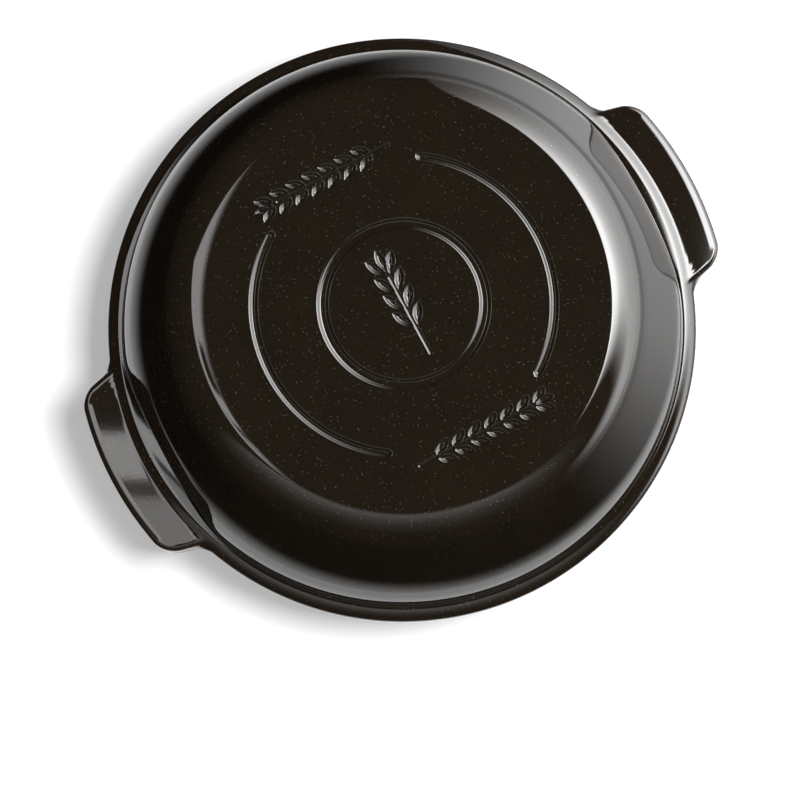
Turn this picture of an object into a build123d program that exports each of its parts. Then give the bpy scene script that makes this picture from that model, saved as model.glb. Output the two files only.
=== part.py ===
from build123d import *
import os
from math import atan2, pi, sin, tan

# Bread cloche: a shallow round dish and the domed lid that stands on it, both of glazed ceramic.
# The origin is the centre of the foot ring, +Z is up, and the lugs point along +X and -X.

# Overall sizes
overall_height = 145
rim_radius = 146                # outer edge of the lid's rim, between the lugs
lug_length = 16.5               # how far the lugs stand out beyond it
seat_height = 50                # top of the dish's rim, where the lid stands
seat_gap = 0.3                  # kept between dish and lid, so that the two stay separate
wall = 7.5
cut_overrun = 5                 # how far cutting shapes run past what they cut
joint_inset = 1                 # how far the lugs' plate stays inside the rim that it is one with
same_height = 0.1               # edges this near to a height are taken to lie at it

# Dome of the lid
ledge_width = 8                 # from the rim's edge in to the foot of the dome
dome_wall_run = 29.5            # how far the sloping wall comes in, up to the flat top
shoulder_bend = 18              # rounds the corner of the flat top
foot_bend = 45                  # rounds the wall into its upright foot
foot_bend_height = 10           # above the ledge round the dome's foot
rim_height = 16                 # from the lid's underside up to that ledge
rim_outer_edge_bend = 5.5       # the edge away from the seat
rim_seat_edge_bend = 2
grip_flat = 6                   # how deep the flats over the lugs cut into the foot of the dome
grip_flat_bend = 5

# Lugs, the same on dish and lid
lug_thickness = 14.3
lug_relief = 0.7                # how far each lug stays back from the seat
lug_root_half_width = 47
lug_tip_half_width = 43
lug_corner_bend = 7
lug_root_bend = 6
lug_root_cove = 3               # rounds the corner between a lug's top and the rim
lug_outer_edge_bend = 3         # the edge that is seen, above on the lid and below on the dish
lug_inner_edge_bend = 2.5       # the edge that faces the other lug

# Lip under the lid, which keeps it centred in the dish
lip_drop = 4
lip_clearance = 1
lip_edge_bend = 1.5
lip_run_in = 1.5                # how far the dish's upright mouth goes on below the lip

# Dish
dish_rim_setback = 1            # the dish's rim is this much smaller than the lid's
seat_land = 9                   # width of the flat that the lid stands on
dish_rim_height = 16            # from the seat down to the rim's underside
dish_wall_run = 20              # how far the sloping wall comes in, down to the floor
dish_bend = 28
dish_floor = 8
foot_ring_height = 3
foot_ring_inset = 12            # from the corner of the floor in to the ring
foot_ring_width = 8
foot_ring_edge_bend = 1

# Grooves in the flat top
groove_depth = 1.1
arc_groove_radius = 70
arc_groove_width = 4.3
arc_groove_half_angle = 55.5    # degrees to each side of a lug
ring_groove_inner_radius = 35
ring_groove_outer_radius = 40.6
stalk_width = 1.8
grain_width = 4.6
grain_lean = 30                 # degrees between a grain and its stalk
grain_gap = 1.8                 # from the middle of the stalk to a grain's foot
side_grain_length = 9.5
side_grain_pitch = 8.5          # from one pair of grains to the next
side_stalk_half_length = 30
centre_grain_length = 12
centre_grain_pitch = 9
centre_stalk_foot = 27          # below the middle
centre_stalk_head = 15          # above the middle
centre_bare_stalk = 14

lid_under = seat_height + seat_gap
ledge_height = lid_under + rim_height
lug_reach = rim_radius + lug_length
dish_rim_radius = rim_radius - dish_rim_setback
mouth_radius = dish_rim_radius - seat_land
mouth_foot = seat_height - lip_drop - lip_run_in
dish_corner_radius = mouth_radius - dish_wall_run
foot_ring_radius = dish_corner_radius - foot_ring_inset
dish_floor_height = foot_ring_height + dish_floor
lip_radius = mouth_radius - lip_clearance
dome_foot_radius = rim_radius - ledge_width
dome_corner_radius = dome_foot_radius - dome_wall_run
dome_rise = overall_height - ledge_height - foot_bend_height
dome_slope = atan2(dome_rise, dome_foot_radius - dome_corner_radius)
dish_slope = atan2(mouth_foot - dish_floor_height, mouth_radius - dish_corner_radius)


def lug_plan(circle_radius):
    # Outline of a rim with its two lugs, seen from above
    with BuildSketch() as plan:
        with BuildLine():
            Polyline(
                (lug_reach, -lug_tip_half_width),
                (lug_reach, lug_tip_half_width),
                (circle_radius, lug_root_half_width),
                (-circle_radius, lug_root_half_width),
                (-lug_reach, lug_tip_half_width),
                (-lug_reach, -lug_tip_half_width),
                (-circle_radius, -lug_root_half_width),
                (circle_radius, -lug_root_half_width),
                close=True,
            )
        make_face()
        Circle(lug_reach, mode=Mode.INTERSECT)
        Circle(circle_radius)
        middle = (lug_reach + circle_radius) / 2
        tips = plan.vertices().filter_by(lambda corner: corner.center().length > middle)
        fillet(tips, lug_corner_bend)
        inner = plan.vertices().filter_by(lambda corner: corner.center().length < middle)
        roots = inner.filter_by(lambda corner: lug_tip_half_width < abs(corner.Y) < circle_radius / 2)
        fillet(roots, lug_root_bend)
    return plan.sketch


def turned_face(*corners):
    # Half section for turning: each corner is its radius, its height and the bend that rounds it
    with BuildSketch(Plane.XZ) as section:
        with BuildLine():
            places = [(radius, height) for radius, height, bend in corners]
            FilletPolyline(*places, radius=[bend for radius, height, bend in corners], close=True)
        make_face()
    return section.sketch


def dome_face(inset, foot):
    # Half section of the dome, moved in by the wall or by nothing, down to a foot height
    return turned_face(
        (0, overall_height - inset, 0),
        (dome_corner_radius - inset * tan(dome_slope / 2), overall_height - inset, shoulder_bend - inset),
        (
            dome_foot_radius - inset,
            ledge_height + foot_bend_height - inset * tan((pi / 2 - dome_slope) / 2),
            foot_bend - inset,
        ),
        (dome_foot_radius - inset, foot, 0),
        (0, foot, 0),
    )


def bowl_face(outset, floor, mouth):
    # Half section of the dish's bowl, moved out by the wall or by nothing, up to a mouth height
    side = mouth_radius + outset / sin(dish_slope)
    return turned_face(
        (0, floor, 0),
        (dish_corner_radius + outset * tan(dish_slope / 2), floor, dish_bend + outset),
        (side, mouth_foot, 0),
        (side, mouth, 0),
        (0, mouth, 0),
    )


def grip_cuts(place, start):
    # What lies beyond the flats over the lugs, from a start height upwards
    with BuildPart() as blocks:
        with Locations((place, 0, start), (-place - rim_radius, 0, start)):
            Box(
                rim_radius,
                2 * rim_radius,
                overall_height,
                align=(Align.MIN, Align.CENTER, Align.MIN),
            )
    return blocks.part


def grain(length):
    # One grain of wheat, seen from above, with its foot at the origin
    with BuildSketch() as seed:
        with BuildLine():
            ThreePointArc((0, 0), (length / 2, grain_width / 2), (length, 0))
            ThreePointArc((length, 0), (length / 2, -grain_width / 2), (0, 0))
        make_face()
    return seed.sketch


def ear(stalk_foot, stalk_head, first_pair, pitch, length):
    # An ear of wheat along +Y: its stalk, pairs of grains as far as the stalk's head, and one grain on top
    with BuildSketch() as wheat:
        with Locations((0, (stalk_foot + stalk_head) / 2)):
            SlotOverall(stalk_head - stalk_foot, stalk_width, rotation=90)
        pairs = int((stalk_head - first_pair) / pitch) + 1
        for number in range(pairs):
            place = first_pair + number * pitch
            for side in (1, -1):
                with Locations(Location((0, place), 90 + side * grain_lean) * Location((grain_gap, 0))):
                    add(grain(length))
        with Locations(Location((0, stalk_head + stalk_width), 90)):
            add(grain(length))
    return wheat.sketch


# Lid: the dome with its flats, the rim and lugs as one plate, and the ledge and lip turned with them
with BuildPart() as dome:
    revolve(dome_face(0, lid_under), axis=Axis.Z)
    add(grip_cuts(dome_foot_radius - grip_flat, ledge_height - cut_overrun), mode=Mode.SUBTRACT)
    flat_edges = ShapeList(dome.faces().filter_by(Axis.X).edges())
    fillet(flat_edges.filter_by(lambda edge: edge.center().Z > ledge_height), grip_flat_bend)

with BuildPart() as cavity:
    revolve(dome_face(wall, lid_under - lip_drop - cut_overrun), axis=Axis.Z)
    add(grip_cuts(dome_foot_radius - grip_flat - wall, ledge_height - wall), mode=Mode.SUBTRACT)

with BuildPart() as cloche_lid:
    with BuildSketch(Plane.XY.offset(lid_under + lug_relief)):
        add(lug_plan(rim_radius - joint_inset))
    extrude(amount=lug_thickness)
    fillet(cloche_lid.faces().sort_by(Axis.Z)[-1].edges(), lug_outer_edge_bend)
    fillet(cloche_lid.faces().sort_by(Axis.Z)[0].edges(), lug_inner_edge_bend)
    lug_top = cloche_lid.faces().sort_by(Axis.Z)[-1].center().Z
    rim_and_lip = turned_face(
        (0, ledge_height, 0),
        (rim_radius, ledge_height, rim_outer_edge_bend),
        (rim_radius, lid_under, rim_seat_edge_bend),
        (lip_radius, lid_under, 0),
        (lip_radius, lid_under - lip_drop, lip_edge_bend),
        (0, lid_under - lip_drop, 0),
    )
    revolve(rim_and_lip, axis=Axis.Z)
    creases = cloche_lid.edges().filter_by_position(Axis.Z, lug_top - same_height, lug_top + same_height)
    creases = creases.filter_by(lambda edge: abs(edge.center().X) < rim_radius)
    fillet(creases.filter_by(lambda edge: edge.length > 2 * lug_root_bend), lug_root_cove)
    add(dome.part)
    add(cavity.part, mode=Mode.SUBTRACT)

    # Grooves: an arc over each lug, a ring in the middle, and ears of wheat inside it and between the arcs
    with BuildSketch(Plane.XY.offset(overall_height)):
        for lug_angle in (0, 180):
            middle_line = CenterArc(
                (0, 0),
                arc_groove_radius,
                lug_angle - arc_groove_half_angle,
                2 * arc_groove_half_angle,
                mode=Mode.PRIVATE,
            )
            SlotArc(middle_line, arc_groove_width)
        Circle(ring_groove_outer_radius)
        Circle(ring_groove_inner_radius, mode=Mode.SUBTRACT)
        add(
            ear(
                -centre_stalk_foot,
                centre_stalk_head,
                centre_bare_stalk - centre_stalk_foot,
                centre_grain_pitch,
                centre_grain_length,
            )
        )
        for gap_angle in (0, 180):
            with Locations(Location((0, 0), gap_angle) * Location((0, arc_groove_radius), 90)):
                add(
                    ear(
                        -side_stalk_half_length,
                        side_stalk_half_length,
                        side_grain_pitch - side_stalk_half_length,
                        side_grain_pitch,
                        side_grain_length,
                    )
                )
    extrude(amount=-groove_depth, mode=Mode.SUBTRACT)
cloche_lid.part.label = "cloche_lid"

# Dish: rim and lugs as one plate, and the bowl and foot ring turned with them
with BuildPart() as base_dish:
    with BuildSketch(Plane.XY.offset(seat_height - lug_relief - lug_thickness)):
        add(lug_plan(dish_rim_radius - joint_inset))
    extrude(amount=lug_thickness)
    fillet(base_dish.faces().sort_by(Axis.Z)[0].edges(), lug_outer_edge_bend)
    fillet(base_dish.faces().sort_by(Axis.Z)[-1].edges(), lug_inner_edge_bend)
    dish_rim = turned_face(
        (0, seat_height, 0),
        (dish_rim_radius, seat_height, rim_seat_edge_bend),
        (dish_rim_radius, seat_height - dish_rim_height, rim_outer_edge_bend),
        (0, seat_height - dish_rim_height, 0),
    )
    revolve(dish_rim, axis=Axis.Z)
    revolve(bowl_face(wall, foot_ring_height, seat_height - rim_seat_edge_bend), axis=Axis.Z)
    foot_ring = turned_face(
        (foot_ring_radius - foot_ring_width, 0, foot_ring_edge_bend),
        (foot_ring_radius, 0, foot_ring_edge_bend),
        (foot_ring_radius, dish_floor_height - dish_floor / 2, 0),
        (foot_ring_radius - foot_ring_width, dish_floor_height - dish_floor / 2, 0),
    )
    revolve(foot_ring, axis=Axis.Z)
    revolve(bowl_face(0, dish_floor_height, seat_height + cut_overrun), axis=Axis.Z, mode=Mode.SUBTRACT)
base_dish.part.label = "base_dish"

os.makedirs("parts", exist_ok=True)
export_step(cloche_lid.part, "parts/cloche_lid.step")
export_step(base_dish.part, "parts/base_dish.step")
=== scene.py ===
# %% [markdown]
# # A round ceramic bread cloche
#
# This lesson dresses a bread cloche: a shallow dish with a domed lid on it, both moulded in stoneware
# and covered with a nearly black, glossy glaze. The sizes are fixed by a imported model, which the first
# cell loads. Each cell then makes one part of the look: the rim and its lugs, the dome, the grooves in
# the flat top, the dish, the glaze, and last the camera and the studio round it.

import bmesh
import bpy
import numpy as np
from mathutils import Matrix, Vector
from mathutils.geometry import delaunay_2d_cdt


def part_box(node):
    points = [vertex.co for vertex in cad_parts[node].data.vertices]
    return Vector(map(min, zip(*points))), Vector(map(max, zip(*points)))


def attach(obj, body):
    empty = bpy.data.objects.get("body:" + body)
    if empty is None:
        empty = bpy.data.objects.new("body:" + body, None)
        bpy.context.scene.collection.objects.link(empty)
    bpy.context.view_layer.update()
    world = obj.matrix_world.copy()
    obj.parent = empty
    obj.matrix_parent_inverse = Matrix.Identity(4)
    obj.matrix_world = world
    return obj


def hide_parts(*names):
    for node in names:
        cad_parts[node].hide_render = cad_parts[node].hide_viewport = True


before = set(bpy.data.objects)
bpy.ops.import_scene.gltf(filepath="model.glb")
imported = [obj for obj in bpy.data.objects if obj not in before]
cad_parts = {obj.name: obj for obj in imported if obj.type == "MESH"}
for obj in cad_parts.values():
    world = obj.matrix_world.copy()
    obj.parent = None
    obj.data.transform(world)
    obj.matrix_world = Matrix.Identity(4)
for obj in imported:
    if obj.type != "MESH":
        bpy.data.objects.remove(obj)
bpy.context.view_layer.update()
print("nodes:", sorted(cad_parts))

# %% [markdown]
# ## Sizes
#
# A potter works from a drawing, and so does this script. All lengths are in millimetres, and the meshes
# are scaled to metres when they are made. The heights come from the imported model's boxes, so that the
# dressed piece stays where the fixed one is, and the rest repeats the drawing.

# %% Sizes of the cloche
MM = 0.001

lid_low, lid_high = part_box("cloche_lid")
_, dish_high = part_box("base_dish")
TOP = lid_high.z / MM
SEAT = dish_high.z / MM
LID_UNDER = SEAT + 0.3
LUG_REACH = lid_high.x / MM
LID_RIM = lid_high.y / MM
DISH_RIM = dish_high.y / MM
LIP_UNDER = lid_low.z / MM
print("top", round(TOP, 2), "seat", round(SEAT, 2), "lug reach", round(LUG_REACH, 2))
print("rims", round(LID_RIM, 2), round(DISH_RIM, 2), "lip's underside", round(LIP_UNDER, 2))

# %% [markdown]
# ## Rounded forms from distances
#
# Cast ceramic has no sharp edge: glaze runs off corners and gathers in creases. Bevel modifiers could
# round the edges, but where a lug grows out of a round rim three bends meet, and bevels pinch there, which
# a mirror-like glaze shows at once. So each form is written as a distance, negative inside, and two forms
# are joined or cut with a round bend between them. Points are then moved onto the joined form.

# %% Joining forms with a bend
def join_round(first, second, bend):
    """Both forms together, with a cove of that radius in the crease."""
    near_first = np.maximum(bend - first, 0)
    near_second = np.maximum(bend - second, 0)
    return np.maximum(bend, np.minimum(first, second)) - np.hypot(near_first, near_second)


def meet_round(first, second, bend):
    """What both forms share, with its edge rounded to that radius."""
    near_first = np.maximum(bend + first, 0)
    near_second = np.maximum(bend + second, 0)
    return np.minimum(-bend, np.maximum(first, second)) + np.hypot(near_first, near_second)


def ease(value, low, high):
    """From 0 to 1 as value goes from low to high, with soft ends."""
    share = np.clip((value - low) / (high - low), 0, 1)
    return share * share * (3 - 2 * share)


print("a crease of two walls 2 mm away:", round(float(join_round(2.0, 2.0, 6.0)), 2))

# %% [markdown]
# ## The plan of the rim
#
# Seen from above, both halves are a circle with two broad lugs. Each lug tapers a little towards its
# tip, which follows a larger circle, and its corners and roots are rounded. The same plan serves the lid
# and the dish, with their own rim radius.

# %% Plan of a rim with two lugs
LUG_ROOT_HALF = 47
LUG_TIP_HALF = 43
LUG_CORNER_BEND = 7
LUG_ROOT_BEND = 6


def lug_distance(x, y, rim):
    run = np.array((LUG_REACH - rim, LUG_TIP_HALF - LUG_ROOT_HALF))
    along = run / np.hypot(*run)
    side = (np.abs(y) - LUG_ROOT_HALF) * along[0] - (np.abs(x) - rim) * along[1]
    return meet_round(side, np.hypot(x, y) - LUG_REACH, LUG_CORNER_BEND)


def plan_distance(x, y, rim):
    return join_round(np.hypot(x, y) - rim, lug_distance(x, y, rim), LUG_ROOT_BEND)


print("plan at the lug's tip:", round(float(plan_distance(LUG_REACH, 0.0, LID_RIM)), 3))

# %% [markdown]
# ## Columns
#
# The mesh is laid out in columns, like the ribs of an umbrella: each runs from the flat top out over the
# rim and back inside. If they were spaced by angle, the ends of the lugs would get almost none, because
# those edges point nearly at the centre. So the outline is walked along its length, and the columns are
# set closer where it bends round the lugs.

# %% Columns round the outline
COLUMNS = 480
LUG_CROWDING = 2.2
WALK_POINTS = 7201
WALK_HALVINGS = 40


def outline_columns(rim):
    """Points of the outline, with their outward directions, their angles and how far each is on a lug."""
    turn = np.linspace(-np.pi, np.pi, WALK_POINTS)
    inner, outer = np.full(turn.shape, rim - 2.0), np.full(turn.shape, LUG_REACH + 2.0)
    for _ in range(WALK_HALVINGS):
        middle = (inner + outer) / 2
        inside = plan_distance(middle * np.cos(turn), middle * np.sin(turn), rim) < 0
        inner, outer = np.where(inside, middle, inner), np.where(inside, outer, middle)
    loop = inner[:, None] * np.stack([np.cos(turn), np.sin(turn)], axis=1)
    step = np.hypot(*np.diff(loop, axis=0).T)
    length = np.concatenate([[0], np.cumsum(step)])
    on_lug = ease(inner, rim + 0.3, rim + 3)
    crowded = 1 + (LUG_CROWDING - 1) * ease(np.hypot(*loop.T), rim - 0.5, rim + 2)
    spread = np.concatenate([[0], np.cumsum(step * (crowded[1:] + crowded[:-1]) / 2)])
    places = np.interp(np.arange(COLUMNS) * spread[-1] / COLUMNS, spread, length)
    points = np.stack([np.interp(places, length, loop[:, axis]) for axis in (0, 1)], axis=1)
    x, y = points.T
    nudge = 0.01
    slope = np.stack([
        plan_distance(x + nudge, y, rim) - plan_distance(x - nudge, y, rim),
        plan_distance(x, y + nudge, rim) - plan_distance(x, y - nudge, rim),
    ], axis=1)
    outward = slope / np.hypot(*slope.T)[:, None]
    return points, outward, np.arctan2(y, x), np.interp(places, length, on_lug)


lid_outline, lid_outward, lid_angle, lid_on_lug = outline_columns(LID_RIM)
print("columns on the lugs:", int((lid_on_lug > 0.5).sum()), "of", COLUMNS)
print("steps, mm:", np.round(np.hypot(*np.diff(lid_outline, axis=0).T)[[0, 120, 240]], 2))

# %% [markdown]
# ## The rim with its lugs, in section
#
# The rim is a thick ring, and the lugs are slabs that stand back a little from the seat, so that only
# the rims touch when the lid is on. Both are slabs with rounded edges: the edges that are seen are
# broad, and those at the seat are tight. Height is counted from the seat, so one description serves the
# lid, upwards, and the dish, downwards.

# %% Section of rim and lugs
RIM_HEIGHT = 16
LUG_RELIEF = 0.7
LUG_STEP = 0.8
SEEN_EDGE = (6.3, 5.0)
SEAT_EDGE = 2
LUG_SEEN_EDGE = 2.5
LUG_SEAT_EDGE = 2.5
STEP_COVE = 0.8


def rounded_slab(plan, height, low, high, low_edge, high_edge):
    """A slab from low to high. The upper edge is rounded over a width and a height, the lower one evenly."""
    upper = height > (low + high) / 2
    width = np.where(upper, high_edge[0], low_edge)
    depth = np.where(upper, high_edge[1], low_edge)
    out = (plan + width) / width
    up = (np.where(upper, height - high, low - height) + depth) / depth
    return (np.hypot(np.maximum(out, 0), np.maximum(up, 0)) + np.minimum(np.maximum(out, up), 0) - 1) * depth


def rim_and_lugs(x, y, height, rim, rim_height):
    ring = rounded_slab(np.hypot(x, y) - rim, height, 0, rim_height, SEAT_EDGE, SEEN_EDGE)
    lug = rounded_slab(
        lug_distance(x, y, rim), height, LUG_RELIEF, rim_height - LUG_STEP,
        LUG_SEAT_EDGE, (LUG_SEEN_EDGE, LUG_SEEN_EDGE),
    )
    # The broad bend of the lug's root shows beside the lug at half height. Elsewhere the cove is small.
    root = LUG_ROOT_BEND * ease(np.abs(y), LUG_TIP_HALF - 5, LUG_TIP_HALF + 2)
    middle_height = ease(height, 0, 4) * (1 - ease(height, rim_height - 6, rim_height - 1.5))
    bend = STEP_COVE + np.maximum(root - STEP_COVE, 0) * middle_height
    return np.maximum(join_round(ring, lug, bend), -height)


print("section at the lug's tip:", round(float(rim_and_lugs(LUG_REACH, 0.0, 6.0, LID_RIM, RIM_HEIGHT)), 3))

# %% [markdown]
# ## Finding the surface
#
# A point of the surface is found by halving: one end of a short line is inside the form, the other is
# outside, and the middle is tested until both ends agree. The line stands upright for the top of the
# rim, and turns like the ribs of a fan round its outer edges, so that the bends get evenly spaced points.

# %% Search along a line
SURFACE_HALVINGS = 30
FAN_REACH = 14
INSIDE_RIM, ABOVE_RIM = 6, 25
INSIDE_SEAT, BELOW_SEAT = 3, -3


def meet_surface(inside, outside, rim, rim_height):
    """Where lines from points inside the rim to points outside it pass its surface."""
    for _ in range(SURFACE_HALVINGS):
        middle = (inside + outside) / 2
        within = rim_and_lugs(*np.moveaxis(middle, -1, 0), rim, rim_height)[..., None] < 0
        inside, outside = np.where(within, middle, inside), np.where(within, outside, middle)
    return (inside + outside) / 2


def upright(plan, inner_height, outer_height, rim, rim_height):
    inside = np.column_stack([plan, np.full(len(plan), float(inner_height))])
    outside = np.column_stack([plan, np.full(len(plan), float(outer_height))])
    return meet_surface(inside, outside, rim, rim_height)


def fan(anchor, outward, degrees, rim, rim_height):
    turn = np.radians(degrees)
    line = np.column_stack([outward * np.cos(turn), np.full(len(outward), np.sin(turn))])
    return meet_surface(anchor, anchor + FAN_REACH * line, rim, rim_height)


tip = upright(np.array([[LUG_REACH - 6.0, 0.0]]), INSIDE_RIM, ABOVE_RIM, LID_RIM, RIM_HEIGHT)
print("top of the lug above the seat, mm:", round(float(tip[0, 2]), 2))

# %% [markdown]
# ## Turned profiles
#
# The dome, the lip and the bowl are turned shapes: a profile goes once round the axis. A profile is given
# by its corners, each with the radius that rounds it, and gets a point every few degrees of a bend and a
# few more on straight runs, so that the glaze reflects smoothly where the form bends.

# %% Profiles with rounded corners
def rounded_profile(corners, degrees=5, run=6):
    """Points (radius, height) along a profile. Its corners are a radius, a height and a rounding bend."""
    points = [np.array(corners[0][:2], float)]
    for before, corner, after in zip(corners, corners[1:], corners[2:]):
        place = np.array(corner[:2], float)
        back = np.array(before[:2], float) - place
        ahead = np.array(after[:2], float) - place
        back, ahead = back / np.hypot(*back), ahead / np.hypot(*ahead)
        half = np.arccos(np.clip(back @ ahead, -1, 1)) / 2
        if corner[2] == 0:
            points.append(place)
            continue
        centre = place + (back + ahead) / np.hypot(*(back + ahead)) * corner[2] / np.sin(half)
        start = place + back * corner[2] / np.tan(half) - centre
        end = place + ahead * corner[2] / np.tan(half) - centre
        whole = np.pi - 2 * half
        for share in np.linspace(0, 1, max(3, int(np.ceil(np.degrees(whole) / degrees)) + 1)):
            swung = start * np.sin((1 - share) * whole) + end * np.sin(share * whole)
            points.append(centre + swung / np.sin(whole))
    points.append(np.array(corners[-1][:2], float))
    filled = [points[0]]
    for start, end in zip(points, points[1:]):
        parts = max(1, int(np.hypot(*(end - start)) // run))
        filled += [start + (end - start) * part / parts for part in range(1, parts + 1)]
    return np.array(filled)


def turned_ring(radius, height, angle):
    return np.column_stack([radius * np.cos(angle), radius * np.sin(angle), np.full(len(angle), height)])


sample = rounded_profile([(0, 10, 0), (10, 10, 3), (10, 0, 0)])
print("a rounded corner has", len(sample), "points")

# %% [markdown]
# ## The dome's outside
#
# From the flat top the dome bends over a soft shoulder into a steep, almost straight wall, which turns
# upright above the ledge of the rim. Over each lug the wall is pressed in to a nearly flat face, which
# makes room for the thumbs. The flat is blended into the wall with a soft least-of-two, as a mould maker
# would rub the edge away.

# %% Profile of the dome and the flats over the lugs
SHEET_EDGE = 92
LEDGE = LID_UNDER + RIM_HEIGHT
DOME_CORNER = 108.5
DOME_FOOT = 138
SHOULDER_BEND = 18
WALL_BEND = 45
WALL_UPRIGHT = 10
FOOT_COVE = 0.7
FOOT_GAP = 0.15
FLAT_FOOT = 133.0
FLAT_CURVE = 1334
FLAT_BLEND = 4.0

dome_profile = rounded_profile([
    (SHEET_EDGE, TOP, 0),
    (DOME_CORNER, TOP, SHOULDER_BEND),
    (DOME_FOOT, LEDGE + WALL_UPRIGHT, WALL_BEND),
    (DOME_FOOT, LEDGE, FOOT_COVE),
    (DOME_FOOT + FOOT_COVE + FOOT_GAP, LEDGE, 0),
])


def soft_least(first, second, blend):
    gap = np.maximum(blend - np.abs(first - second), 0) / blend
    return np.minimum(first, second) - gap * gap * blend / 4


def flat_radius(angle, foot):
    """How far out the flat over a lug is in each direction: a very large circle, seen from above."""
    lean = np.maximum(np.abs(np.cos(angle)), 0.75)
    return (foot - (foot * np.sin(angle) / lean) ** 2 / FLAT_CURVE) / lean


def dome_ring(radius, height, angle):
    """One ring of the dome, pressed in at the flats. A ring beyond the foot keeps its distance from it."""
    wide = np.minimum(radius, DOME_FOOT)
    pressed = soft_least(wide, flat_radius(angle, FLAT_FOOT), FLAT_BLEND) + (radius - wide)
    return turned_ring(pressed, height, angle)


foot_reach = np.hypot(*dome_ring(DOME_FOOT, LEDGE, lid_angle)[:, :2].T)
print("dome rows:", len(dome_profile), "narrowest foot, mm:", round(float(foot_reach.min()), 2))

# %% [markdown]
# ## Collecting a piece
#
# A piece is grown ring by ring, and each new ring is joined to the last one with faces. Where a piece is
# plain, every second column ends, with one triangle for each that stops, to keep the mesh light. Each point
# also notes how thin the glaze is there, because glaze pulls away from edges and shows the clay's brown.

# %% Growing a piece from rings
class Shell:
    def __init__(self):
        self.points, self.thin, self.faces, self.bare = [], [], [], []
        self.last = None

    def add_points(self, points, thin=0.0):
        start = len(self.points)
        self.points += [tuple(point) for point in points]
        self.thin += list(np.broadcast_to(thin, len(points)))
        return list(range(start, start + len(points)))

    def ring(self, points, thin=0.0, bare=False):
        new, old = self.add_points(points, thin), self.last
        self.last = new
        if old is None:
            return new
        count, start = len(old), len(self.faces)
        if len(new) == count:
            for i in range(count):
                self.faces.append((old[i], old[(i + 1) % count], new[(i + 1) % count], new[i]))
        else:
            for i in range(len(new)):
                a, b, c = old[2 * i], old[2 * i + 1], old[(2 * i + 2) % count]
                self.faces.append((a, b, new[i]))
                self.faces.append((b, c, new[(i + 1) % len(new)], new[i]))
        if bare:
            self.bare += range(start, len(self.faces))
        return new

    def close(self, point):
        middle = self.add_points([point])[0]
        count = len(self.last)
        for i in range(count):
            self.faces.append((self.last[i], self.last[(i + 1) % count], middle))


lid = Shell()
print("an empty shell has", len(lid.points), "points")

# %% [markdown]
# ## Grooves in the flat top
#
# The flat top carries shallow grooves that were cut into the mould: a long arc over each lug, a ring in
# the middle, and ears of wheat, one inside the ring and one in each gap between the arcs. A groove is
# again a distance from its outline. The ears are short stalks with pairs of pointed grains.

# %% Outlines of the grooves
ARC_RADIUS = 70
ARC_WIDTH = 4.3
ARC_HALF_ANGLE = np.radians(55.5)
RING_INNER = 35
RING_OUTER = 40.6
STALK_WIDTH = 1.8
GRAIN_WIDTH = 4.6
GRAIN_LEAN = np.radians(30)
GRAIN_GAP = 1.8
MIDDLE_EAR = {"foot": -27, "head": 15, "first_pair": -13, "pitch": 9, "length": 12}
GAP_EAR = {"foot": -30, "head": 30, "first_pair": -21.5, "pitch": 8.5, "length": 9.5}


def arc_distance(x, y):
    x = np.abs(x)
    turn = np.arctan2(y, x)
    nearest = np.clip(turn, -ARC_HALF_ANGLE, ARC_HALF_ANGLE)
    return np.hypot(x - ARC_RADIUS * np.cos(nearest), y - ARC_RADIUS * np.sin(nearest)) - ARC_WIDTH / 2


def ring_distance(x, y):
    return np.abs(np.hypot(x, y) - (RING_INNER + RING_OUTER) / 2) - (RING_OUTER - RING_INNER) / 2


def grain_distance(x, y, foot, lean, length):
    """A grain as what two large circles share, with its foot at a point and leaning from +Y."""
    along = (x - foot[0]) * np.sin(lean) + (y - foot[1]) * np.cos(lean) - length / 2
    across = (x - foot[0]) * np.cos(lean) - (y - foot[1]) * np.sin(lean)
    bow = (length ** 2 / 4 + GRAIN_WIDTH ** 2 / 4) / GRAIN_WIDTH
    return np.hypot(along, np.abs(across) + bow - GRAIN_WIDTH / 2) - bow


def ear_distance(x, y, foot, head, first_pair, pitch, length):
    """An ear of wheat along +Y: a stalk, pairs of grains up to its head, and one grain on top."""
    on_stalk = np.clip(y, foot + STALK_WIDTH / 2, head - STALK_WIDTH / 2)
    nearest = np.hypot(x, y - on_stalk) - STALK_WIDTH / 2
    for place in np.arange(first_pair, head + 0.001, pitch):
        for side in (1, -1):
            start = (side * GRAIN_GAP * np.sin(GRAIN_LEAN), place + GRAIN_GAP * np.cos(GRAIN_LEAN))
            nearest = np.minimum(nearest, grain_distance(x, y, start, side * GRAIN_LEAN, length))
    return np.minimum(nearest, grain_distance(x, y, (0, head + STALK_WIDTH), 0, length))


def ears_distance(x, y):
    """The ear inside the ring, and one in each gap between the arcs, which follow the gaps."""
    centre = ear_distance(x, y, **MIDDLE_EAR)
    far_gap = ear_distance(y - ARC_RADIUS, -x, **GAP_EAR)
    near_gap = ear_distance(-y - ARC_RADIUS, x, **GAP_EAR)
    return np.minimum(centre, np.minimum(far_gap, near_gap))


def groove_distance(x, y):
    return np.minimum(np.minimum(arc_distance(x, y), ring_distance(x, y)), ears_distance(x, y))


print("middle of an arc lies", round(float(-arc_distance(70.0, 0.0)), 2), "mm inside its outline")

# %% [markdown]
# ## The flat top as one sheet
#
# A grid fine enough for the grooves would be far too fine for the bare glaze between them. So the sheet
# is made from loose points: close together in and beside the grooves, in rows that follow the arcs and the
# ring, and far apart elsewhere. A Delaunay triangulation joins them. Each point then sinks by how far it is
# inside an outline, along a soft S, so that the sides of a groove slope and its bottom stays flat.

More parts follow.
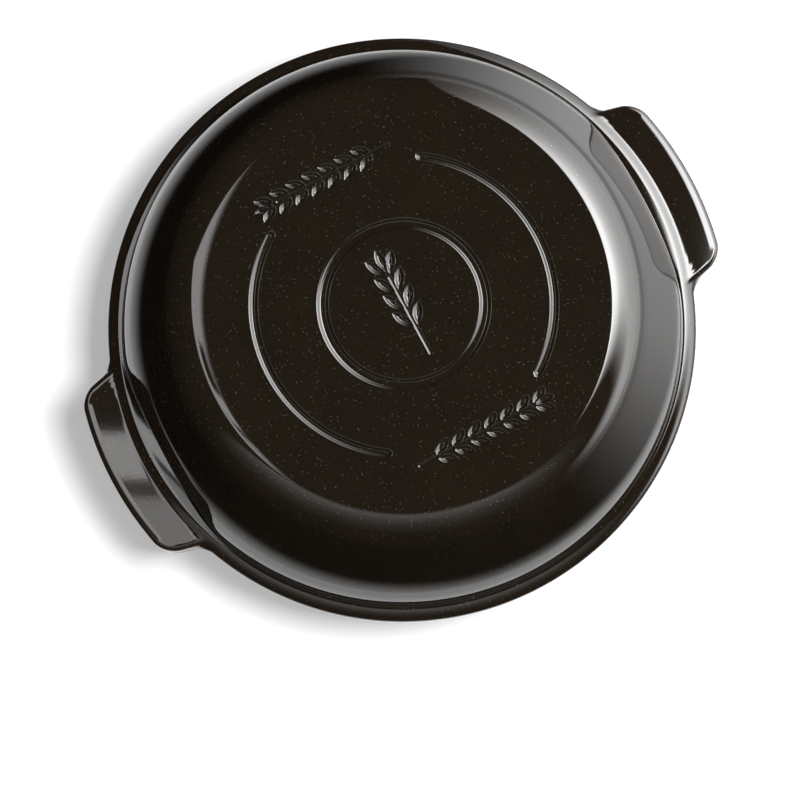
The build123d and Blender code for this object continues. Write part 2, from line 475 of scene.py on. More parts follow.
# %% Triangulated sheet with its grooves
GROOVE_DEPTH = 1.0
GROOVE_SIDE = 1.7
FINE = 0.45
MIDDLING = 1.5
WIDE = 5
RING_RAYS = 340
ARC_RAYS = 620


def groove_sink(x, y):
    return GROOVE_DEPTH * ease(-groove_distance(x, y), 0, GROOVE_SIDE)


def polar_lattice(low, high, count):
    radius, turn = np.meshgrid(np.arange(low, high, FINE), np.arange(count) * 2 * np.pi / count)
    return np.column_stack([(radius * np.cos(turn)).ravel(), (radius * np.sin(turn)).ravel()])


def hex_lattice(step, reach):
    row_step = step * np.sqrt(0.75)
    rows, columns = np.meshgrid(np.arange(-reach, reach, row_step), np.arange(-reach, reach, step))
    shifted = columns + step / 2 * (np.round(rows / row_step) % 2)
    return np.column_stack([shifted.ravel(), rows.ravel()])


def sheet_points():
    """Close rows in and just past the grooves, a middling grid beside them and a wide one further off."""
    rings = polar_lattice(RING_INNER - 0.5, RING_OUTER + 0.5, RING_RAYS)
    arcs = polar_lattice(ARC_RADIUS - 2.7, ARC_RADIUS + 2.7, ARC_RAYS)
    arcs = arcs[arc_distance(*arcs.T) < 0.5]
    ears = hex_lattice(FINE, SHEET_EDGE)
    ears = ears[ears_distance(*ears.T) < 0.35]
    middling = hex_lattice(MIDDLING, SHEET_EDGE)
    beside = groove_distance(*middling.T)
    middling = middling[(beside > 0.9) & (beside < 3)]
    wide = hex_lattice(WIDE, SHEET_EDGE)
    wide = wide[(groove_distance(*wide.T) > 3.5) & (np.hypot(*wide.T) < SHEET_EDGE - 3)]
    return np.concatenate([rings, arcs, ears, middling, wide])


sheet_edge = lid.ring(turned_ring(SHEET_EDGE, TOP, lid_angle))
loose = sheet_points()
joined = np.concatenate([turned_ring(SHEET_EDGE, TOP, lid_angle)[:, :2], loose])
triangulated = delaunay_2d_cdt([tuple(point) for point in joined], [], [], 0, 1e-4, True)
sheet_places = np.array(triangulated[0])
sheet_start = {}
inner_numbers = []
for number, sources in enumerate(triangulated[3]):
    edge_sources = [source for source in sources if source < COLUMNS]
    if edge_sources:
        sheet_start[number] = sheet_edge[edge_sources[0]]
    else:
        inner_numbers.append(number)
inner_places = sheet_places[inner_numbers]
heights = TOP - groove_sink(*inner_places.T)
new_numbers = lid.add_points(np.column_stack([inner_places, heights]))
sheet_start.update(zip(inner_numbers, new_numbers))
lid.faces += [tuple(sheet_start[number] for number in face) for face in triangulated[2]]
print("sheet points:", len(sheet_places), "triangles:", len(triangulated[2]))

# %% [markdown]
# ## The lid from the shoulder to the seat
#
# The rings go down the dome, over the ledge, across the rim and its lugs, round the outer edge like a fan
# and back under the rim to the seat. Between the ledge and the edge the height is found by the upright
# search, and round the edge by the fan. The anchor of the fan lies deeper in on the rim than on the lugs,
# because the rim's seen edge is rounder.

# %% The lid's outside
LEDGE_ROW = 139.3
EDGE_FAN = 3.4
FAN_DEGREES = (81, 72, 63, 54, 45, 36, 27, 18, 9, 0)
UNDER_FAN_DEGREES = (0, -20, -40, -60, -78, -90)
ACROSS_SHARES = (
    0.02, 0.045, 0.07, 0.095, 0.12, 0.145, 0.17, 0.19, 0.205, 0.22, 0.235, 0.25,
    0.28, 0.35, 0.5, 0.7, 0.88, 1,
)
UNDER_SHARES = (0.25, 0.45, 0.6, 0.72, 0.84, 1)
SEAT_INSET = 2.5
EDGE_THIN = 0.35
SEAT_THIN = 0.2


def grow_rim(shell, outline, outward, angle, on_lug, rim, rim_height, start, end, place):
    """Rings from a start circle over the rim and lugs and back under them to an end circle.

    place turns heights above the seat into heights of the object.
    """
    def put(points, thin):
        shell.ring(np.column_stack([points[:, :2], place(points[:, 2])]), thin)

    depth = EDGE_FAN + (LUG_SEEN_EDGE - EDGE_FAN) * on_lug
    high = rim_height - SEEN_EDGE[1] + (SEEN_EDGE[1] - LUG_STEP - LUG_SEEN_EDGE) * on_lug
    inner = start * np.column_stack([np.cos(angle), np.sin(angle)])
    anchor = outline - outward * depth[:, None]
    for share in ACROSS_SHARES:
        across = inner + (anchor - inner) * share
        put(upright(across, INSIDE_RIM, ABOVE_RIM, rim, rim_height), EDGE_THIN * share)
    upper = np.column_stack([anchor, high])
    for degrees in FAN_DEGREES:
        on_edge = np.sin(np.radians(2 * min(degrees, 45)))
        put(fan(upper, outward, degrees, rim, rim_height), EDGE_THIN + (1 - EDGE_THIN) * on_edge)
    depth = SEAT_EDGE + (LUG_SEAT_EDGE - SEAT_EDGE) * on_lug
    low = (LUG_RELIEF + LUG_SEAT_EDGE - SEAT_EDGE) * on_lug + SEAT_EDGE
    anchor = outline - outward * depth[:, None]
    for share in (0.35, 0.7):
        between = np.column_stack([anchor, high + (low - high) * share])
        put(fan(between, outward, 0, rim, rim_height), SEAT_THIN)
    lower = np.column_stack([anchor, low])
    for degrees in UNDER_FAN_DEGREES:
        on_edge = np.sin(np.radians(-degrees))
        put(fan(lower, outward, degrees, rim, rim_height), SEAT_THIN + (1 - SEAT_THIN) * on_edge)
    inner = end * np.column_stack([np.cos(angle), np.sin(angle)])
    for share in UNDER_SHARES:
        back = anchor + (inner - anchor) * share
        put(upright(back, INSIDE_SEAT, BELOW_SEAT, rim, rim_height), 0.5)


for radius, height in dome_profile[1:]:
    lid.ring(dome_ring(radius, height, lid_angle))
grow_rim(
    lid, lid_outline, lid_outward, lid_angle, lid_on_lug, LID_RIM, RIM_HEIGHT,
    LEDGE_ROW, LID_RIM - SEAT_INSET, lambda height: LID_UNDER + height,
)
print("lid so far:", len(lid.points), "points,", len(lid.faces), "faces")

# %% [markdown]
# ## The lid's inside
#
# Under the rim a bare seat runs in to a lip that drops into the dish and keeps the lid in the middle. Inside
# the lip the wall follows the dome one wall's thickness in. Nothing fine happens there, so every second
# column ends at the lip.

# %% Lip and inside of the lid
WALL = 7.5
LIP_RADIUS = 135
LIP_RELEASE = 6
INSIDE_BLEND = 3
CENTRE_ROW = 6
DOME_SLOPE = np.arctan2(TOP - LEDGE - WALL_UPRIGHT, DOME_FOOT - DOME_CORNER)

lip_profile = rounded_profile([
    (LID_RIM - SEAT_INSET, LID_UNDER, 0),
    (LIP_RADIUS, LID_UNDER, 0.6),
    (LIP_RADIUS, LIP_UNDER, 1.5),
    (DOME_FOOT - WALL, LIP_UNDER, 1.5),
    (DOME_FOOT - WALL, LIP_UNDER + 4, 0),
], degrees=12, run=3)
inside_profile = rounded_profile([
    (DOME_FOOT - WALL, LIP_UNDER + 4, 0),
    (DOME_FOOT - WALL, LEDGE + WALL_UPRIGHT - WALL * np.tan((np.pi / 2 - DOME_SLOPE) / 2), WALL_BEND - WALL),
    (DOME_CORNER - WALL * np.tan(DOME_SLOPE / 2), TOP - WALL, SHOULDER_BEND - WALL),
    (CENTRE_ROW, TOP - WALL, 0),
], degrees=8, run=12)

# Outside the lip the seat is bare clay.
for radius, height in lip_profile[1:]:
    lid.ring(turned_ring(radius, height, lid_angle), 0.6, bare=radius > LIP_RADIUS + 1)
half_angle = lid_angle[::2]
for radius, height in inside_profile[1:]:
    release = LIP_RELEASE * (1 - ease(height, LEDGE - WALL, LEDGE))
    pressed = soft_least(radius, flat_radius(half_angle, FLAT_FOOT - WALL) + release, INSIDE_BLEND)
    lid.ring(turned_ring(pressed, height, half_angle))
lid.close((0, 0, TOP - WALL))
print("lid:", len(lid.points), "points,", len(lid.faces), "faces")

# %% [markdown]
# ## The dish
#
# The dish hides under the lid in the photograph, so its form follows what such dishes have: a rim that
# matches the lid's, a sloping wall, a flat floor and a low foot ring that stands on the table. Its rings
# start under the rim and go round it and its lugs, which are the lid's turned upside down, and down inside
# to the middle of the floor. From the same start they then go down the wall and over the foot ring to the
# middle of the underside. The wall's big bend starts under the foot ring, so the ring's outer side runs up
# to that bend, and the part of the bend that the ring covers is left out.

# %% Growing the dish
DISH_RIM_HEIGHT = 16
MOUTH = 136
MOUTH_FOOT = 44.5
DISH_CORNER = 116
DISH_BEND = 28
FOOT_HEIGHT = 3
FOOT_OUTER = 104
FOOT_WIDTH = 8
FOOT_BEND = 1
FLOOR_HEIGHT = 11
DISH_SLOPE = np.arctan2(MOUTH_FOOT - FLOOR_HEIGHT, MOUTH - DISH_CORNER)
DISH_COVE = 1.5

dish_outline, dish_outward, dish_angle, dish_on_lug = outline_columns(DISH_RIM)
wall_top = MOUTH + WALL / np.sin(DISH_SLOPE)
rim_under = SEAT - DISH_RIM_HEIGHT
wall_at_rim = wall_top - (MOUTH_FOOT - rim_under) / np.tan(DISH_SLOPE)
rim_start = wall_at_rim + 1

wall_profile = rounded_profile([
    (FOOT_OUTER - FOOT_WIDTH, FOOT_HEIGHT, 0),
    (DISH_CORNER + WALL * np.tan(DISH_SLOPE / 2), FOOT_HEIGHT, DISH_BEND + WALL),
    (wall_at_rim, rim_under, DISH_COVE),
    (rim_start, rim_under, 0),
], degrees=9, run=8)
foot_meets_wall = np.interp(FOOT_OUTER, *wall_profile.T)
sole_profile = rounded_profile([
    (CENTRE_ROW, FOOT_HEIGHT, 0),
    (FOOT_OUTER - FOOT_WIDTH, FOOT_HEIGHT, FOOT_BEND),
    (FOOT_OUTER - FOOT_WIDTH, 0, FOOT_BEND),
    (FOOT_OUTER, 0, FOOT_BEND),
    (FOOT_OUTER, foot_meets_wall, FOOT_BEND),
    *[(radius, height, 0) for radius, height in wall_profile if radius > FOOT_OUTER + FOOT_BEND],
], degrees=9, run=8)
bowl_profile = rounded_profile([
    (DISH_RIM - SEAT_INSET, SEAT, 0),
    (MOUTH, SEAT, 0.8),
    (MOUTH, MOUTH_FOOT, 2),
    (DISH_CORNER, FLOOR_HEIGHT, DISH_BEND),
    (CENTRE_ROW, FLOOR_HEIGHT, 0),
], degrees=7, run=8)

dish = Shell()
start_ring = dish.ring(turned_ring(rim_start, rim_under, dish_angle))
grow_rim(
    dish, dish_outline, dish_outward, dish_angle, dish_on_lug, DISH_RIM, DISH_RIM_HEIGHT,
    rim_start, DISH_RIM - SEAT_INSET, lambda height: SEAT - height,
)
# The mouth's edge and the cove under the rim keep every column, and the plain walls every second one.
for radius, height in bowl_profile[1:]:
    angle = dish_angle if radius > MOUTH - 1 and height > SEAT - 1 else dish_angle[::2]
    dish.ring(turned_ring(radius, height, angle), 0.4 * (height > SEAT - 1))
dish.close((0, 0, FLOOR_HEIGHT))
dish.last = start_ring
for radius, height in sole_profile[-2::-1]:
    angle = dish_angle if height > rim_under - 1.5 * DISH_COVE else dish_angle[::2]
    dish.ring(turned_ring(radius, height, angle), bare=height < 0.2)
dish.close((0, 0, FOOT_HEIGHT))
print("dish:", len(dish.points), "points,", len(dish.faces), "faces")

# %% [markdown]
# ## From shells to pieces
#
# A shell becomes a Blender mesh, scaled to metres, and rides on the body of the fixed model that it stands
# for. The glaze's thinness goes along as an attribute that the material reads. Bare clay, which shows where
# the piece stood in the kiln, is the mesh's second material.

# %% Making the meshes
def make_piece(name, shell, body, node):
    mesh = bpy.data.meshes.new(name)
    mesh.from_pydata([tuple(value * MM for value in point) for point in shell.points], [], shell.faces)
    thin = mesh.attributes.new("thin_glaze", "FLOAT", "POINT")
    thin.data.foreach_set("value", np.array(shell.thin, np.float32))
    slots = np.zeros(len(mesh.polygons), np.int32)
    slots[shell.bare] = 1
    mesh.polygons.foreach_set("material_index", slots)
    form = bmesh.new()
    form.from_mesh(mesh)
    bmesh.ops.recalc_face_normals(form, faces=form.faces)
    form.to_mesh(mesh)
    form.free()
    mesh.shade_smooth()
    piece = bpy.data.objects.new(name, mesh)
    bpy.context.scene.collection.objects.link(piece)
    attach(piece, body)
    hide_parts(node)
    print(name, "triangles:", sum(len(face) - 2 for face in shell.faces))
    return piece


glazed_lid = make_piece("glazed_lid", lid, "lid", "cloche_lid")
glazed_dish = make_piece("glazed_dish", dish, "dish", "base_dish")

# %% [markdown]
# ## Shading the flat top
#
# A glaze mirrors its surroundings, so a groove shows as thin bright lines along its sides. Triangles that
# cross those sides at all angles would fray the lines. The true slope is known from the groove's outline, so
# each point of the sheet is given its exact normal instead of the average of its triangles.

# %% Exact normals on the sheet
lid_mesh = glazed_lid.data
normals = np.zeros(len(lid_mesh.vertices) * 3, np.float32)
lid_mesh.vertex_normals.foreach_get("vector", normals)
normals = normals.reshape(-1, 3)
nudge = 0.02
x, y = inner_places.T
slope_x = (groove_sink(x + nudge, y) - groove_sink(x - nudge, y)) / (2 * nudge)
slope_y = (groove_sink(x, y + nudge) - groove_sink(x, y - nudge)) / (2 * nudge)
exact = np.column_stack([slope_x, slope_y, np.ones(len(x))])
exact /= np.linalg.norm(exact, axis=1)[:, None]
normals[new_numbers] = exact
normals[sheet_edge] = (0, 0, 1)
lid_mesh.normals_split_custom_set_from_vertices([tuple(normal) for normal in normals.tolist()])
print("steepest groove side, degrees:", round(float(np.degrees(np.arccos(exact[:, 2].min()))), 1))

# %% [markdown]
# ## Materials from nodes
#
# Blender's materials are nets of small nodes. Made one by one they fill pages, so a few helpers make a node,
# feed its sockets and hand back what comes out of it. They keep sums short too: a product or a sum of many
# values is one call, and a soft step is a dimmer that turns up from 0 to 1.

# %% Node helpers
def new_material(name):
    material = bpy.data.materials.new(name)
    material.use_nodes = True
    tree = material.node_tree
    tree.nodes.clear()
    output = tree.nodes.new("ShaderNodeOutputMaterial")
    return material, tree, output


def feed(tree, socket, value):
    """Link what comes out of another node to a socket, or set the socket to a plain value."""
    if isinstance(value, bpy.types.NodeSocket):
        tree.links.new(value, socket)
    else:
        socket.default_value = value


def node(tree, kind, **inputs):
    made = tree.nodes.new(kind)
    for name, value in inputs.items():
        feed(tree, made.inputs[name.replace("_", " ")], value)
    return made


def math_node(tree, operation, first, second=0.5):
    made = tree.nodes.new("ShaderNodeMath")
    made.operation = operation
    feed(tree, made.inputs[0], first)
    feed(tree, made.inputs[1], second)
    return made.outputs[0]


def vector_node(tree, operation, first, second=(0, 0, 0)):
    made = tree.nodes.new("ShaderNodeVectorMath")
    made.operation = operation
    feed(tree, made.inputs[0], first)
    feed(tree, made.inputs[1], second)
    return made.outputs["Value" if operation in ("LENGTH", "DOT_PRODUCT") else "Vector"]


def product(tree, first, *others):
    for value in others:
        first = math_node(tree, "MULTIPLY", first, value)
    return first


def added(tree, first, *others):
    for value in others:
        first = math_node(tree, "ADD", first, value)
    return first


def soft_step(tree, value, low, high):
    """From 0 at low to 1 at high, with soft ends. Low may be the larger one."""
    made = node(tree, "ShaderNodeMapRange", Value=value, From_Min=low, From_Max=high)
    made.interpolation_type = "SMOOTHSTEP"
    return made.outputs["Result"]


def mix_colour(tree, share, first, second):
    made = tree.nodes.new("ShaderNodeMix")
    made.data_type = "RGBA"
    for number, value in ((0, share), (6, first), (7, second)):
        feed(tree, made.inputs[number], value)
    return made.outputs[2]


def object_place(tree):
    return tree.nodes.new("ShaderNodeTexCoord").outputs["Object"]


def noise(tree, place, scale, detail):
    return node(tree, "ShaderNodeTexNoise", Vector=place, Scale=scale, Detail=detail).outputs[0]


print("materials before the first one:", len(bpy.data.materials))

# %% [markdown]
# ## The glaze
#
# The glaze is almost black with a warm cast, and as smooth as glass but for a faint orange peel. Fine pale
# grains of the clay show through it here and there. Where it ran thin, over edges, it is browner. All of it
# is made with nodes that read the place on the object, so nothing slides when the camera moves. The grains
# are the middles of Voronoi cells, of which half are left out, and each one's chance colour sets its size.

# %% The dark glaze with its grains
DEEP_GLAZE = (0.0098, 0.0073, 0.0048, 1)
LIGHTER_GLAZE = (0.0155, 0.011, 0.0066, 1)
THIN_GLAZE = (0.018, 0.0125, 0.009, 1)
DULL_GRAIN = (0.1, 0.085, 0.065, 1)
PALE_GRAIN = (0.46, 0.42, 0.34, 1)
CELLS_PER_METRE = 1100.0
LARGEST_GRAIN = 0.16
CELLS_LEFT_OUT = 0.5
PEEL_DEPTH = 0.000001
SWELL_TO_PEEL = 4.0

glaze, tree, output = new_material("speckled_glaze")
place = object_place(tree)
deep = mix_colour(tree, noise(tree, place, 45.0, 3.0), DEEP_GLAZE, LIGHTER_GLAZE)
thin = node(tree, "ShaderNodeAttribute")
thin.attribute_name = "thin_glaze"
thinness = product(tree, thin.outputs["Fac"], noise(tree, place, 160.0, 2.0))
warm = mix_colour(tree, thinness, deep, THIN_GLAZE)

cells = node(tree, "ShaderNodeTexVoronoi", Vector=place, Scale=CELLS_PER_METRE)
chance = node(tree, "ShaderNodeSeparateColor", Color=cells.outputs["Color"]).outputs
reach = product(tree, chance["Red"], LARGEST_GRAIN)
near = math_node(tree, "LESS_THAN", cells.outputs["Distance"], reach)
chosen = math_node(tree, "GREATER_THAN", chance["Green"], CELLS_LEFT_OUT)
grain_colour = mix_colour(tree, chance["Blue"], DULL_GRAIN, PALE_GRAIN)
colour = mix_colour(tree, product(tree, near, chosen), warm, grain_colour)

swell = product(tree, noise(tree, place, 70.0, 1.0), SWELL_TO_PEEL)
relief = added(tree, noise(tree, place, 520.0, 1.5), swell)
bump = node(tree, "ShaderNodeBump", Strength=1.0, Distance=PEEL_DEPTH, Height=relief).outputs[0]
shader = node(tree, "ShaderNodeBsdfPrincipled", Base_Color=colour, Roughness=0.03, IOR=1.6, Normal=bump)
tree.links.new(shader.outputs[0], output.inputs["Surface"])
print("nodes in the glaze:", len(tree.nodes))

# %% [markdown]
# ## Bare clay
#
# A potter wipes the glaze off where the piece stands in the kiln, or it would weld itself to the shelf. The
# clay that is left bare is matt and gritty, so it gets a material of its own. One fine noise gives both its
# colour and its low relief, so that the pale grains are also the high ones.

# %% Bare clay, and both materials on the pieces
DARK_CLAY = (0.20, 0.13, 0.085, 1)
LIGHT_CLAY = (0.36, 0.26, 0.18, 1)
GRIT_DEPTH = 0.0002

clay, tree, output = new_material("bare_clay")
grit = noise(tree, object_place(tree), 900.0, 4.0)
tone = mix_colour(tree, grit, DARK_CLAY, LIGHT_CLAY)
bump = node(tree, "ShaderNodeBump", Strength=0.6, Distance=GRIT_DEPTH, Height=grit).outputs[0]
shader = node(tree, "ShaderNodeBsdfPrincipled", Base_Color=tone, Roughness=0.85, Normal=bump)
tree.links.new(shader.outputs[0], output.inputs["Surface"])

for piece in (glazed_lid, glazed_dish):
    piece.data.materials.append(glaze)
    piece.data.materials.append(clay)
print("materials:", [material.name for material in bpy.data.materials])

# %% [markdown]
# ## The camera
#
# The photograph looks almost straight down, from a little below the picture's middle, with a long lens. The
# camera stands 1.3 m from the rim and is turned so that the lugs lie from lower left to upper right.

# %% Camera
AZIMUTH = np.radians(-33.22)
ELEVATION = np.radians(84.2)
ROLL = np.radians(5.01)
DISTANCE = 1300
AIM = np.array([-17.6, -30.6, 50.0])
LENS = 117.13

away = np.array([
    np.sin(AZIMUTH) * np.cos(ELEVATION), -np.cos(AZIMUTH) * np.cos(ELEVATION), np.sin(ELEVATION)
])
level = np.cross((0, 0, 1), away)
level /= np.linalg.norm(level)
upward = np.cross(away, level)
right = np.cos(ROLL) * level + np.sin(ROLL) * upward
up = np.cos(ROLL) * upward - np.sin(ROLL) * level
lens = bpy.data.cameras.new("camera")
lens.lens = LENS
lens.clip_end = 20
camera = bpy.data.objects.new("camera", lens)
bpy.context.scene.collection.objects.link(camera)
turn = Matrix(np.column_stack([right, up, away]).tolist()).to_4x4()
camera.matrix_world = Matrix.Translation((AIM + DISTANCE * away) * MM) @ turn
bpy.context.scene.camera = camera
print("camera at, m:", [round(value, 3) for value in camera.matrix_world.translation])

# %% [markdown]
# ## The floor
#
# The pot stands on white paper. In a photograph of a nearly black pot the paper is lit until it is just
# white. So much light would lift the black as well, so the paper glows a little instead, to the camera and
# to mirrors alone, and more so far away, where the lamps reach it less. It keeps the pot's shadow.

# %% Pale floor
FLOOR_HALF = 9.0  # the studio is measured in metres
PAPER_GREY = 0.75
GLOW_NEAR = 0.32
GLOW_ADDED_FAR = 0.7
GLOW_GROWS = (0.45, 1.8)

scene = bpy.context.scene
scene.view_settings.view_transform = "Standard"


def stage_object(name, points, faces, material):
    mesh = bpy.data.meshes.new(name)
    mesh.from_pydata(points, [], faces)
    mesh.materials.append(material)
    made = bpy.data.objects.new(name, mesh)
    scene.collection.objects.link(made)
    return made


def to_camera_and_mirrors(tree):
    """1 for rays that come from the camera, a mirror or through glass, and 0 for those that carry light."""
    rays = tree.nodes.new("ShaderNodeLightPath").outputs
    seen = math_node(tree, "MAXIMUM", rays["Is Camera Ray"], rays["Is Glossy Ray"])
    return math_node(tree, "MAXIMUM", seen, rays["Is Transmission Ray"])


paper, tree, output = new_material("white_paper")
far = soft_step(tree, vector_node(tree, "LENGTH", object_place(tree)), *GLOW_GROWS)
level = added(tree, product(tree, far, GLOW_ADDED_FAR), GLOW_NEAR)
strength = product(tree, to_camera_and_mirrors(tree), level)
matt = node(tree, "ShaderNodeBsdfDiffuse", Color=(PAPER_GREY, PAPER_GREY, PAPER_GREY, 1))
glow = node(tree, "ShaderNodeEmission", Color=(1, 1, 1, 1), Strength=strength)
both = tree.nodes.new("ShaderNodeAddShader")
tree.links.new(matt.outputs[0], both.inputs[0])
tree.links.new(glow.outputs[0], both.inputs[1])
tree.links.new(both.outputs[0], output.inputs["Surface"])
floor_corners = [(FLOOR_HALF * i, FLOOR_HALF * j, 0) for i, j in ((-1, -1), (1, -1), (1, 1), (-1, 1))]
stage_object("pale_floor", floor_corners, [(0, 1, 2, 3)], paper)
print("floor, m:", 2 * FLOOR_HALF)

# %% [markdown]
# ## The lamps
#
# Two square lamps light the pot at a plain level. The strong one stands high on the right and throws the
# shadow to the left. The weak one looks in from below the picture and is so wide that its own shadow hardly
# shows. Mirrors don't see them, because what the glaze mirrors is painted in the next steps.

# %% Lamps
TO_RIGHT = (0.883, -0.469, 0.0)
TO_TOP = (0.469, 0.883, 0.0)
LAMP_DISTANCE = 2.0


def direction(right_tilt, top_tilt):
    """A unit vector that leans from upright by these degrees to the picture's right and to its top."""
    tilt = np.radians(np.hypot(right_tilt, top_tilt))
    turn = np.arctan2(top_tilt, right_tilt)
    side = np.cos(turn) * np.array(TO_RIGHT) + np.sin(turn) * np.array(TO_TOP)
    return np.sin(tilt) * side + np.cos(tilt) * np.array([0, 0, 1.0])


def add_lamp(name, towards, size, level):
    """A square lamp that lights a level surface to this level, where 1 shows a colour as it is written."""
    lamp = bpy.data.lights.new(name, "AREA")
    lamp.size = size
    lamp.energy = level * np.pi ** 2 * LAMP_DISTANCE ** 2 / towards[2]
    holder = bpy.data.objects.new(name, lamp)
    facing = Vector(towards).to_track_quat("Z", "Y").to_matrix().to_4x4()
    holder.matrix_world = Matrix.Translation(towards * LAMP_DISTANCE) @ facing
    holder.visible_glossy = False
    scene.collection.objects.link(holder)


add_lamp("key_lamp", direction(16, -1), size=0.5, level=0.95)
add_lamp("fill_lamp", direction(0, -20), size=1.6, level=0.1)

# %% [markdown]
# ## What the glaze mirrors
#
# A dark glossy pot is seen by what it mirrors. Here that is a big soft box on the right, a small panel high
# on the left, a faint glow in front, and black cloth everywhere else. It could all be built from lamps and
# cards. It is painted on a tent round the pot instead, which only mirrors see, because a painted glow can
# fade as softly as real cloth does. The tent is so wide that a place on it is as good as a direction. It
# is given by its tilt from upright and by its turn from the picture's right towards its top, in degrees.

# %% Directions on the tent
TENT = 10.0
DEGREES = 180 / np.pi


def fade(tree, degrees, stops):
    """A level that changes with an angle. Each stop is an angle, from 0 to 180 degrees, and its level."""
    most = max(level for _, level in stops)
    ramp = tree.nodes.new("ShaderNodeValToRGB")
    tree.links.new(math_node(tree, "DIVIDE", degrees, 180.0), ramp.inputs[0])
    elements = ramp.color_ramp.elements
    for number, (angle, level) in enumerate(stops):
        spot = elements[number] if number < 2 else elements.new(angle / 180)
        spot.position = angle / 180
        spot.color = (level / most, level / most, level / most, 1)
    return product(tree, ramp.outputs[0], most)


def picture_turn(tree, vector):
    """How far a vector is turned round the upright axis, in degrees, from the picture's right to its top."""
    to_top = vector_node(tree, "DOT_PRODUCT", vector, TO_TOP)
    to_right = vector_node(tree, "DOT_PRODUCT", vector, TO_RIGHT)
    return product(tree, math_node(tree, "ARCTAN2", to_top, to_right), DEGREES)


tent_cloth, tree, output = new_material("tent_cloth")
line = vector_node(tree, "NORMALIZE", object_place(tree))
upright_share = vector_node(tree, "DOT_PRODUCT", line, (0, 0, 1))
tilt = product(tree, math_node(tree, "ARCCOSINE", upright_share), DEGREES)
turn = picture_turn(tree, line)
radians = math_node(tree, "RADIANS", turn)
across = product(tree, tilt, math_node(tree, "COSINE", radians))
ahead = product(tree, tilt, math_node(tree, "SINE", radians))
print("nodes that find a direction:", len(tree.nodes))

# %% [markdown]
# ## The big soft box
#
# The soft box on the right reaches from high up down to the floor, and is brightest at its top. Its front
# side slants, so it is widest at its foot, and its far side fades slowly. Only the edge that is nearest to
# upright is crisp, so that the flat top stays dark right up to the shoulder.

# %% Soft box
BOX_LEVELS = ((12, 18), (22, 18), (28, 14), (34, 11), (42, 9), (52, 7), (66, 5.5), (90, 4.1))
BOX_SLANT = ((12, 88), (16, 84), (20, 80), (28, 76), (40, 70), (56, 61), (66, 48), (76, 38))
SLANT_SHIFT = 80.0  # a ramp has no level below 0, so the turns of the slant are written higher by this
BOX_INNER_EDGE = (8.0, 9.4)

slant = math_node(tree, "SUBTRACT", fade(tree, tilt, BOX_SLANT), SLANT_SHIFT)
near_side = soft_step(tree, math_node(tree, "SUBTRACT", turn, slant), 0, 30)
far_side = math_node(tree, "POWER", soft_step(tree, turn, 100, 38), 1.5)
inner_side = soft_step(tree, across, *BOX_INNER_EDGE)
box_sides = product(tree, near_side, far_side, inner_side)
soft_box = product(tree, fade(tree, tilt, BOX_LEVELS), box_sides)
print("brightest level of the soft box:", max(level for _, level in BOX_LEVELS))

# %% [markdown]
# ## The panel on the left
#
# A small panel high on the left draws the highlight on the left of the shoulder. The left lug's flat top
# mirrors one narrow strip beside that panel, and shows a dark upper third and a dark patch, as if bars stood
# there. A strip of the tent is painted for it. Its levels run along the lug, and it ends where the lug's
# view of the tent does. A colour ramp is too coarse for such narrow bars, so the angle is stretched first.

# %% Left panel and the strip for the lug
PANEL_ACROSS = (-4.6, -6.2)
PANEL_AHEAD = (14.0, 12.5)
PANEL_FOOT = (-8.0, -6.0)
PANEL_SLANT = 0.87
PANEL_LEVEL = 3.6
STRIP_LEAN = 0.455
STRIP_MIDDLE = -4.15
STRIP_EDGE = (1.2, 1.05)
STRIP_STARTS, STRIP_ENDS = (1.2, 1.6), (6.6, 6.2)
STRIP_LEVELS = ((0, 2.4), (3.1, 2.4), (3.17, 0.3), (3.54, 0.3), (3.61, 3.8), (4.65, 3.8), (4.8, 0))
STRETCH = 20.0

panel_foot = added(tree, ahead, product(tree, across, PANEL_SLANT))
panel = product(
    tree, soft_step(tree, across, *PANEL_ACROSS), soft_step(tree, ahead, *PANEL_AHEAD),
    soft_step(tree, panel_foot, *PANEL_FOOT), PANEL_LEVEL,
)
beside = added(tree, across, product(tree, ahead, STRIP_LEAN))
off_strip = math_node(tree, "ABSOLUTE", math_node(tree, "SUBTRACT", beside, STRIP_MIDDLE))
strip_ends = product(tree, soft_step(tree, ahead, *STRIP_STARTS), soft_step(tree, ahead, *STRIP_ENDS))
in_strip = product(tree, soft_step(tree, off_strip, *STRIP_EDGE), strip_ends)
stretched = [(STRETCH * angle, level) for angle, level in STRIP_LEVELS]
strip = fade(tree, product(tree, ahead, STRETCH), stretched)
outside_strip = math_node(tree, "SUBTRACT", 1.0, in_strip)
left_panel = added(tree, product(tree, panel, outside_strip), product(tree, strip, in_strip))
print("levels along the strip:", [level for _, level in STRIP_LEVELS])

# %% [markdown]
# ## The glow in front, and the tent
#
# A faint glow in front keeps the flat top and the near wall from turning quite black, and draws the grooves.
# With it the tent's cloth is done. The tent is half a ball that stands on the floor.

# %% Front glow and tent
FRONT_LEVELS = ((3, 0), (8, 0.85), (14, 0.9), (20, 0.65), (28, 0.44), (40, 0.2), (52, 0.1), (66, 0))

front_sides = product(tree, soft_step(tree, turn, -157, -150), soft_step(tree, turn, -20, -45))
front_glow = product(tree, fade(tree, tilt, FRONT_LEVELS), front_sides)
shine = node(tree, "ShaderNodeEmission", Strength=added(tree, soft_box, left_panel, front_glow))
tree.links.new(shine.outputs[0], output.inputs["Surface"])

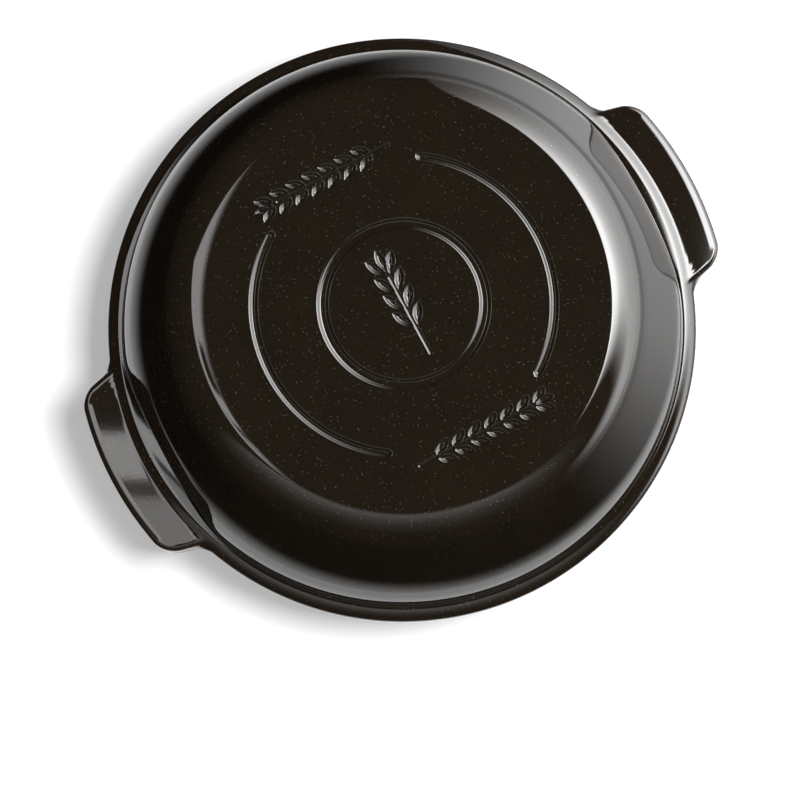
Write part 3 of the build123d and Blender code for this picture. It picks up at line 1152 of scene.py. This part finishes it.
ring_turns = np.radians(np.arange(0, 360, 5))
tent_points, tent_faces = [], []
for height in np.radians(np.arange(90, -1, -6)):
    tent_points += [
        (TENT * np.sin(height) * np.cos(angle), TENT * np.sin(height) * np.sin(angle), TENT * np.cos(height))
        for angle in ring_turns
    ]
count = len(ring_turns)
for row in range(len(tent_points) // count - 1):
    for i in range(count):
        low, high = row * count, (row + 1) * count
        tent_faces.append((low + i, low + (i + 1) % count, high + (i + 1) % count, high + i))
tent = stage_object("studio_tent", tent_points, tent_faces, tent_cloth)
print("tent faces:", len(tent_faces))

# %% [markdown]
# ## The cloth round the paper
#
# To mirrors the white paper is only a disc, a little wider than the pot, and shows in the foot of the dome.
# Its edge is soft. Round it lies dark cloth, and the light that it would catch from the soft box is painted
# on it as a glow. So a flat ring lies just above the floor, and only mirrors see it.

# %% Floor cloth
PAPER_EDGE = 0.206
PAPER_FADE = 0.012
PAPER_LEFT = 0.004
PAPER_DOWN = 0.022
CLOTH_NEAR = 0.8
CLOTH_ADDED_FAR = 2.6
CLOTH_HEIGHT = 0.0005

floor_cloth, tree, output = new_material("floor_cloth")
spot = object_place(tree)
turn = picture_turn(tree, spot)
# Painted light: the cloth glows on the side towards the soft box and more so further out, in place of the
# light that it would catch.
lit_side = product(tree, soft_step(tree, turn, -45, 5), soft_step(tree, turn, 100, 40))
towards_box = soft_step(tree, vector_node(tree, "LENGTH", spot), 0.24, 0.9)
cloth_level = product(tree, lit_side, added(tree, product(tree, towards_box, CLOTH_ADDED_FAR), CLOTH_NEAR))
paper_middle = -PAPER_LEFT * np.array(TO_RIGHT) - PAPER_DOWN * np.array(TO_TOP)
from_middle = vector_node(tree, "LENGTH", vector_node(tree, "SUBTRACT", spot, tuple(paper_middle)))
paper_glow = soft_step(tree, from_middle, PAPER_EDGE + PAPER_FADE, PAPER_EDGE)
shine = node(tree, "ShaderNodeEmission", Strength=math_node(tree, "MAXIMUM", cloth_level, paper_glow))
tree.links.new(shine.outputs[0], output.inputs["Surface"])
cloth_points = [
    (radius * np.cos(angle) + paper_middle[0], radius * np.sin(angle) + paper_middle[1], CLOTH_HEIGHT)
    for radius in (PAPER_EDGE, TENT)
    for angle in ring_turns
]
cloth_faces = [(i, (i + 1) % count, count + (i + 1) % count, count + i) for i in range(count)]
cloth = stage_object("floor_cloth", cloth_points, cloth_faces, floor_cloth)

for item in (tent, cloth):
    item.visible_camera = False
    item.visible_diffuse = False
    item.visible_transmission = False
    item.visible_volume_scatter = False
    item.visible_shadow = False
print("seen by mirrors alone:", [item.name for item in (tent, cloth)])

# %% [markdown]
# ## The room beyond
#
# Where the camera looks past the floor, the room is white. To everything else it is a dim grey that fills
# the shadows a little.

# %% World
ROOM_LIGHT = 0.15

world = bpy.data.worlds.new("white_room")
scene.world = world
world.use_nodes = True
tree = world.node_tree
tree.nodes.clear()
level = added(tree, product(tree, to_camera_and_mirrors(tree), 1 - ROOM_LIGHT), ROOM_LIGHT)
room = node(tree, "ShaderNodeBackground", Color=(1, 1, 1, 1), Strength=level)
tree.links.new(room.outputs[0], tree.nodes.new("ShaderNodeOutputWorld").inputs[0])
print("world:", world.name)
